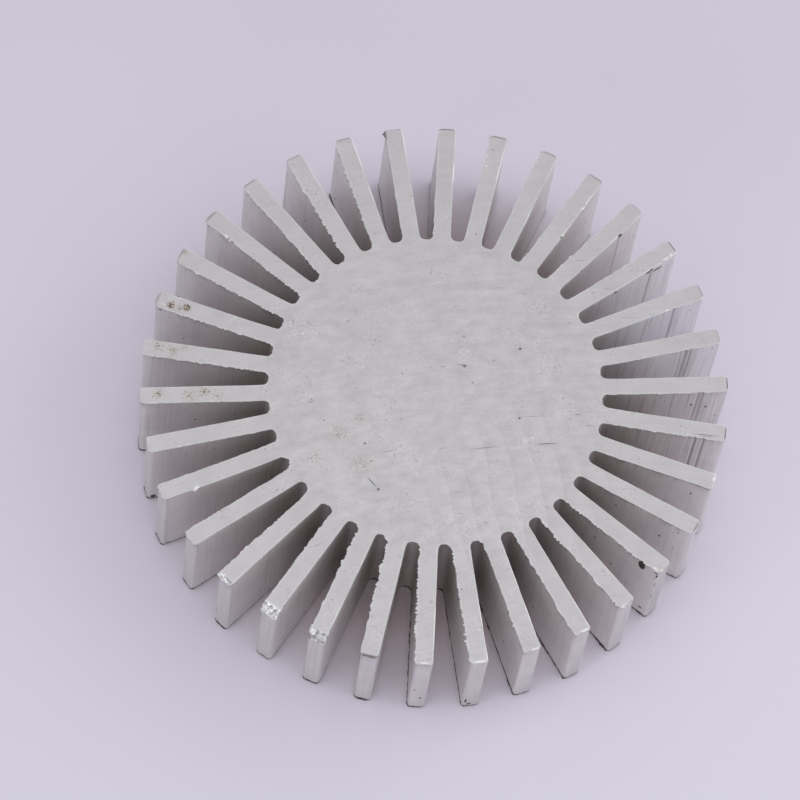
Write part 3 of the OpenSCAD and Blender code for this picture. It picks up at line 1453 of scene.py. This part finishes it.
@dataclass(frozen=True)
class PhotoCamera:
    """The photograph's camera: high in front of the slice, rolled a little, with a long lens."""

    focal_px: float = 4769.5
    distance: float = 409.17
    elevation: float = math.radians(65.313)
    azimuth: float = math.radians(-1.100)
    roll: float = math.radians(9.610)
    right_shift: float = -2.708
    up_shift: float = 1.192

    def build(self, aim: Triple) -> bpy.types.Object:
        """Puts the camera into the scene and makes it the scene's own.

        Args:
            aim: the point that it circles, in the slice's middle.

        Returns:
            The camera.
        """
        back = Vector((math.sin(self.azimuth) * math.cos(self.elevation),
                       -math.cos(self.azimuth) * math.cos(self.elevation), math.sin(self.elevation)))
        level = Vector((math.cos(self.azimuth), math.sin(self.azimuth), 0.0))
        rise = back.cross(level)
        right = math.cos(self.roll) * level + math.sin(self.roll) * rise
        up = math.cos(self.roll) * rise - math.sin(self.roll) * level
        at = Vector(aim) + back * self.distance + right * self.right_shift + up * self.up_shift

        lens = bpy.data.cameras.new("photo_camera")
        lens.sensor_width = SENSOR_MM
        lens.lens = self.focal_px / PHOTO_PX * SENSOR_MM
        lens.clip_start = 0.01
        made = bpy.data.objects.new("photo_camera", lens)
        made.matrix_world = Matrix.Translation(at * MM) @ Matrix((right, up, back)).transposed().to_4x4()
        bpy.context.scene.collection.objects.link(made)
        bpy.context.scene.camera = made
        return made


@dataclass
class Studio:
    """Floor, soft light and camera round the slice.

    The sky is one strength at the horizon and another from sky_rise upwards, where sky_rise is the
    sine of the elevation.
    """

    card: MattCard
    camera: PhotoCamera
    lamps: tuple[SoftBox, ...]
    sky: str = "#f3f3fb"
    sky_low: float = 0.04
    sky_high: float = 0.31
    sky_rise: float = 0.42
    floor_half: float = 3000.0

    def floor(self) -> bpy.types.Object:
        """Lays the floor: a flat grid of four squares at the height of the slice's underside.

        Returns:
            The floor.
        """
        steps = np.linspace(-self.floor_half, self.floor_half, 3)
        y, x = np.meshgrid(steps, steps, indexing="ij")
        xyz = np.stack([x, y, np.zeros_like(x)], -1).reshape(-1, 3)
        ids = np.arange(9).reshape(3, 3)
        faces = np.stack([ids[:-1, :-1], ids[:-1, 1:], ids[1:, 1:], ids[1:, :-1]], -1).reshape(-1, 4)
        mesh = bpy.data.meshes.new("floor")
        mesh.from_pydata((xyz * MM).tolist(), [], faces.tolist())
        mesh.materials.append(self.card.build())
        made = bpy.data.objects.new("floor", mesh)
        bpy.context.scene.collection.objects.link(made)
        return made

    def build(self, aim: Triple) -> bpy.types.Object:
        """Sets the scene's light and camera and lays the floor.

        Args:
            aim: middle of the slice.

        Returns:
            The floor.
        """
        scene = bpy.context.scene
        scene.view_settings.view_transform = "Standard"
        world = bpy.data.worlds.new("soft_tent")
        world.use_nodes = True
        sky = world.node_tree.nodes["Background"]
        sky.inputs["Color"].default_value = linear(self.sky)
        aim_at = add_node(world.node_tree, "ShaderNodeTexCoord", {})
        rise = add_node(world.node_tree, "ShaderNodeSeparateXYZ", {0: aim_at.outputs["Generated"]})
        glow = add_node(world.node_tree, "ShaderNodeMapRange",
                        {0: rise.outputs["Z"], 1: 0.0, 2: self.sky_rise, 3: self.sky_low, 4: self.sky_high})
        world.node_tree.links.new(glow.outputs[0], sky.inputs["Strength"])
        scene.world = world
        for lamp in self.lamps:
            lamp.build(aim)
        self.camera.build(aim)
        return self.floor()


def saw_marks(plan: SlicePlan) -> tuple[Mark, ...]:
    """Dark lines and pits on the top face, each where the photograph shows it.

    Args:
        plan: the slice's plan.

    Returns:
        The marks.
    """
    z = plan.height
    # x and y of both ends, strength
    lines = (
        (0.8, -5.45, 1.5, -5.15, 0.6), (3.1, -5.1, 6.5, -4.2, 0.7), (8.8, -3.7, 11.1, -3.15, 1.1),
        (7.2, -1.4, 9.8, -0.8, 0.55), (12.6, -1.25, 14.1, -1.1, 0.5), (11.6, -0.45, 12.8, -0.15, 0.5),
        (-4.3, -6.7, -2.1, -5.9, 0.55), (1.0, 2.65, 2.8, 2.7, 0.7), (2.6, 10.1, 5.2, 10.65, 0.4),
        (-4.8, -8.8, -3.65, -9.85, 1.2), (3.1, -10.95, 4.0, -11.0, 0.6), (2.3, -9.15, 3.7, -8.95, 0.45),
        (-8.5, 4.85, -8.0, 5.45, 0.6), (-7.0, -1.1, -6.35, -0.8, 0.5), (-0.1, 2.2, 0.7, 2.3, 0.6),
        (-9.04, -16.34, -6.84, -15.16, 0.45), (-9.22, -15.64, -7.62, -15.01, 0.4),
        (21.6, -0.5, 24.9, -0.3, 0.9), (22.4, -0.62, 24.2, -0.5, 0.6), (9.95, 14.05, 11.41, 14.3, 0.45),
        (12.49, 11.77, 14.12, 11.95, 0.45), (14.25, 9.27, 16.89, 9.72, 0.4),
    )
    # x, y, radius, strength
    spots = (
        (2.1, 2.6, 0.2, 1.2), (6.6, 5.0, 0.17, 1.3), (-5.3, -5.9, 0.17, 1.0), (7.35, -1.45, 0.15, 1.1),
        (10.8, 1.0, 0.12, 0.9), (1.7, 5.35, 0.12, 0.8), (-2.6, -3.15, 0.12, 0.8), (-3.6, -9.9, 0.17, 1.2),
    )
    # Fin, u, v, half sizes along and across the fin, strength
    on_fins = ((10, 24.6, 1.0, 0.55, 0.26, 3.0), (8, 23.6, 0.3, 0.1, 0.12, 0.9))
    return (*(Mark.scratch(x0, y0, x1, y1, z, strength=s) for x0, y0, x1, y1, s in lines),
            *(Mark.spot(x, y, z, r, s) for x, y, r, s in spots),
            *(Mark.on_top(plan, *place) for place in on_fins))


def bright_flecks_and_highlights(plan: SlicePlan) -> tuple[Mark, ...]:
    """Freshly bared spots on the fins' tops, and painted highlights along the top edges of some tips, each
    where the photograph shows it.

    Args:
        plan: the slice's plan.

    Returns:
        The marks.
    """
    # Fin, u, v, half sizes along and across the fin, strength
    places = (
        (20, 22.3, 0.62, 0.3, 0.2, 2.6), (6, 21.9, -0.69, 0.5, 0.1, 1.6), (6, 18.5, -0.65, 0.35, 0.1, 1.6),
        (4, 23.8, -0.6, 0.45, 0.1, 1.6), (4, 24.4, -0.52, 0.2, 0.12, 1.8), (4, 17.0, -0.72, 0.6, 0.08, 1.4),
        (3, 21.5, -0.72, 0.25, 0.12, 1.8), (8, 21.9, 0.5, 0.14, 0.12, 1.4), (8, 22.9, 0.6, 0.14, 0.1, 1.3),
        (19, 21.7, 0.66, 0.16, 0.09, 1.6), (19, 22.4, 0.68, 0.2, 0.08, 1.4), (14, 22.6, 0.65, 0.6, 0.12, 1.5),
        # Along the tips' top edges: bared metal and painted highlights
        (31, 24.8, -0.35, 0.1, 0.25, 1.2), (31, 24.3, -0.6, 0.4, 0.1, 1.2),
        (30, 24.85, -0.36, 0.12, 0.4, 1.8), (22, 24.8, -0.3, 0.1, 0.14, 1.2),
        (33, 24.7, 0.2, 0.15, 0.35, 1.2), (28, 24.75, 0.2, 0.1, 0.5, 1.2),
        (27, 24.88, 0.1, 0.12, 0.7, 1.7), (26, 24.88, 0.0, 0.1, 0.6, 1.3), (29, 24.85, 0.2, 0.12, 0.5, 1.5),
    )
    return tuple(Mark.on_top(plan, *place) for place in places)


def dust_marks(plan: SlicePlan) -> tuple[Mark, ...]:
    """Brown dust on the top face: on the core's lower left, and on some fins at the left.

    Args:
        plan: the slice's plan.

    Returns:
        The marks.
    """
    z = plan.height
    # x, y, radius
    on_core = ((-7.6, -5.4, 1.4), (-5.2, -7.8, 1.5), (-9.2, -7.9, 0.8), (-10.3, -2.7, 0.6), (-6.0, -3.7, 0.8))
    # Fin, u, v, radius, strength
    on_fins = ((16, 23.75, 0.2, 0.55, 1.5), (16, 22.4, 0.0, 0.5, 1.8), (16, 23.0, 0.3, 0.5, 0.9),
               (17, 23.9, -0.2, 0.9, 0.85), (17, 22.6, 0.1, 0.9, 0.8), (17, 21.7, -0.4, 0.6, 0.7),
               (18, 23.6, -0.1, 0.8, 0.85), (18, 20.9, 0.1, 1.1, 0.8), (18, 19.6, -0.3, 1.1, 0.85),
               (18, 18.6, 0.1, 0.8, 0.8), (15, 24.7, -0.4, 0.4, 0.9), (24, 24.6, 0.5, 0.4, 0.8))
    core_strength = 0.62
    return (*(Mark.spot(x, y, z, r, core_strength) for x, y, r in on_core),
            *(Mark.spot(*plan.place(fin, u, v), z, r, s) for fin, u, v, r, s in on_fins))


def side_stains_and_shade(plan: SlicePlan) -> tuple[Mark, ...]:
    """Dark stains on the fins' sides and ends, and painted shade under some burrs and a flake, each where the
    photograph shows it.

    Args:
        plan: the slice's plan.

    Returns:
        The marks.
    """
    # Fin, side, u, height, half sizes along the fin and upwards, strength
    places = (
        # Near the tops of fins 4 and 5, and at fin 10's tip, painted shade under burrs and a flake
        (31, Side.CW, 23.05, 9.15, 0.42, 0.95, 2.6), (4, Side.CW, 22.0, 9.65, 0.55, 0.3, 1.5),
        (4, Side.CW, 22.9, 9.2, 0.8, 0.25, 1.2), (5, Side.CW, 22.05, 9.8, 0.35, 0.35, 1.8),
        (4, Side.CW, 18.4, 9.65, 0.2, 0.3, 1.4), (10, Side.CCW, 24.5, 9.8, 0.6, 0.5, 2.5),
        (1, Side.CW, 22.1, 7.45, 0.13, 0.26, 1.8), (1, Side.CW, 23.4, 7.0, 0.13, 0.26, 1.8),
        (32, Side.CW, 22.3, 6.55, 0.13, 0.26, 1.6), (33, Side.CW, 23.2, 7.8, 0.12, 0.24, 1.4),
        (31, Side.CW, 18.2, 7.5, 0.13, 0.26, 1.4), (31, Side.CW, 20.3, 5.0, 0.13, 0.26, 1.4),
        (19, Side.CCW, 24.5, 0.5, 0.35, 0.5, 1.5),
        (31, Side.CW, 24.5, 9.55, 0.3, 0.2, 1.4), (31, Side.CW, 24.62, 9.05, 0.14, 0.4, 1.4),
        (31, Side.CW, 24.5, 8.5, 0.1, 0.2, 1.2), (31, Side.CW, 24.68, 7.3, 0.08, 0.9, 0.75),
        (31, Side.CW, 24.66, 4.6, 0.08, 1.2, 0.7), (31, Side.CW, 24.0, 1.2, 0.3, 0.25, 1.2),
    )
    # Fin, v, height, half sizes across the fin and upwards, strength
    ends = ((27, -0.5, 1.3, 0.12, 0.6, 1.4), (27, -0.2, 0.6, 0.3, 0.25, 1.2),
            (26, 0.2, 2.2, 0.13, 0.25, 1.3), (26, -0.4, 4.0, 0.12, 0.2, 1.2))
    return (*(Mark.on_side(plan, *place) for place in places),
            *(Mark.on_end(plan, *place) for place in ends))


def main() -> None:
    """Builds the slice and the studio, and reports each piece."""
    logging.basicConfig(level=logging.INFO, format="%(name)s: %(message)s")
    low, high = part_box("heat_sink")
    plan = SlicePlan(outer_r=high.x / MM, height=(high.z - low.z) / MM)
    aim = (0.0, 0.0, plan.height / 2)
    extras = {33: -0.15, 31: -0.15, 28: -0.15, 30: -0.08, 0: -0.1, 22: 0.2, 20: 0.25, 21: 0.08}
    grooves = {5: (21.95,), 4: (22.2,), 3: (22.13,), 2: (21.9, 22.35), 1: (22.45, 22.8), 0: (22.4, 23.1)}
    middle, all_heights = plan.height / 2, 4 * plan.height
    mill = MillAluminium(
        plan.core_r, plan.outer_r, stains_and_shade=side_stains_and_shade(plan),
        # Painted shade along the die grooves
        grooves=tuple(Mark.on_side(plan, fin, Side.CW, u, middle, 0.16, all_heights)
                      for fin, places in grooves.items() for u in places),
        # Painted shade on the end of fin 31
        end_shade_marks=(Mark.on_end(plan, 31, 0.0, middle, plan.fin_t, plan.height, 0.5),),
        worn_die=(Mark((18.5, 6.5, middle), (10.0, 12.0, 1.5 * all_heights)),),
        # Painted light on the walls of some fins at the right
        lit_walls=(Mark((17.5, 9.5, middle), (10.0, 9.0, 1.5 * all_heights)),),
    )
    big_crushes = (Crush(23, 0.85, 0.6), Crush(24, 0.75, 0.55))
    heat_sink = SawnSlice(
        plan=plan,
        sawn=SawnAluminium(plan.core_r, saw_marks(plan), bright_flecks_and_highlights(plan), dust_marks(plan)).build(),
        mill=mill.build(),
        crushed=CrushedAluminium().build(),
        # Nearly white: fresh metal and painted highlight, with painted shade in the folds
        pressed=CrushedAluminium("aluminium_pressed_white", dull="#f6f4f3", fold_share=0.016, relief=0.07,
                                 metallic=0.8).build(),
        flakes=(
            Flake(20, Side.CCW, 22.3, 0.24, 0.26), Flake(10, Side.CCW, 24.55, 0.3, 0.3, bright=False),
            Flake(6, Side.CW, 21.9, 0.3, 0.08), Flake(6, Side.CW, 18.5, 0.2, 0.08),
            Flake(4, Side.CW, 23.8, 0.3, 0.08), Flake(14, Side.CCW, 22.2, 0.3, 0.08),
        ),
        crushes=big_crushes + (
            Crush(22, 0.15, 0.15, -0.1, 0.5), Crush(33, 0.2, 0.25, 0.1, 0.4),
            Crush(30, 0.2, 0.25, -0.2, 0.35), Crush(29, 0.2, 0.25, 0.35, 0.35),
            Crush(27, 0.15, 0.2, 0.55, 0.4), Crush(28, 0.12, 0.15), Crush(31, 0.2, 0.2, 0.3, 0.3),
        ),
        tips=(CrushedTip(plan, Skin.PRESSED, big_crushes[0], ridges=11.0, seed=71),
              CrushedTip(plan, Skin.CRUSHED, big_crushes[1], ridges=4.0, seed=83)),
        leans={20: -0.18, 3: -0.14, 5: 0.12, 17: 0.1, 11: -0.1, 9: -0.08, 1: 0.1},
        extras=extras,
        grooves=grooves,
        # Painted shade on the rims of these tips
        shaded_tip_rims={9: 0.7, 8: 0.7, 7: 0.55, 6: 0.55, 11: 0.35, 12: 0.35, 13: 0.45, 14: 0.45, 15: 0.4,
                   25: 0.8, 16: 0.3},
        tears={10: 0.3, 9: 0.35, 8: 0.4, 7: 0.6, 33: 0.45, 32: 0.5, 27: 1.15, 26: 1.15, 25: 1.15},
    ).build()
    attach(heat_sink, "root")
    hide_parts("heat_sink")
    log.info("%s: %d faces", heat_sink.name, len(heat_sink.data.polygons))

    floor = Studio(
        card=MattCard(),
        camera=PhotoCamera(),
        lamps=(
            SoftBox("overhead_softbox", (0.0, 0.0, 700.0), 600.0, 1.13, "#ffffff"),
            SoftBox("right_softbox", (640.0, 120.0, 320.0), 800.0, 1.87, "#ffffff"),
            SoftBox("left_softbox", (-420.0, -120.0, 560.0), 450.0, 0.48, "#ffffff"),
            SoftBox("back_softbox", (0.0, 680.0, 250.0), 600.0, 0.79, "#ffffff"),
            SoftBox("front_low_softbox", (0.0, -700.0, 110.0), 300.0, 0.57, "#ffffff"),
            SoftBox("front_right_softbox", (500.0, -500.0, 110.0), 300.0, 0.19, "#ebe9ff"),
            SoftBox("back_low_softbox", (500.0, 500.0, 110.0), 300.0, 0.9, "#ffffff"),
            SoftBox("left_spark", (-480.0, -480.0, 300.0), 160.0, 0.25, "#ffffff"),
            SoftBox("right_spark", (450.0, -480.0, 300.0), 90.0, 0.04, "#ffffff"),
        ),
    ).build(aim)
    log.info("%s: laid", floor.name)


if __name__ == "__main__":
    main()
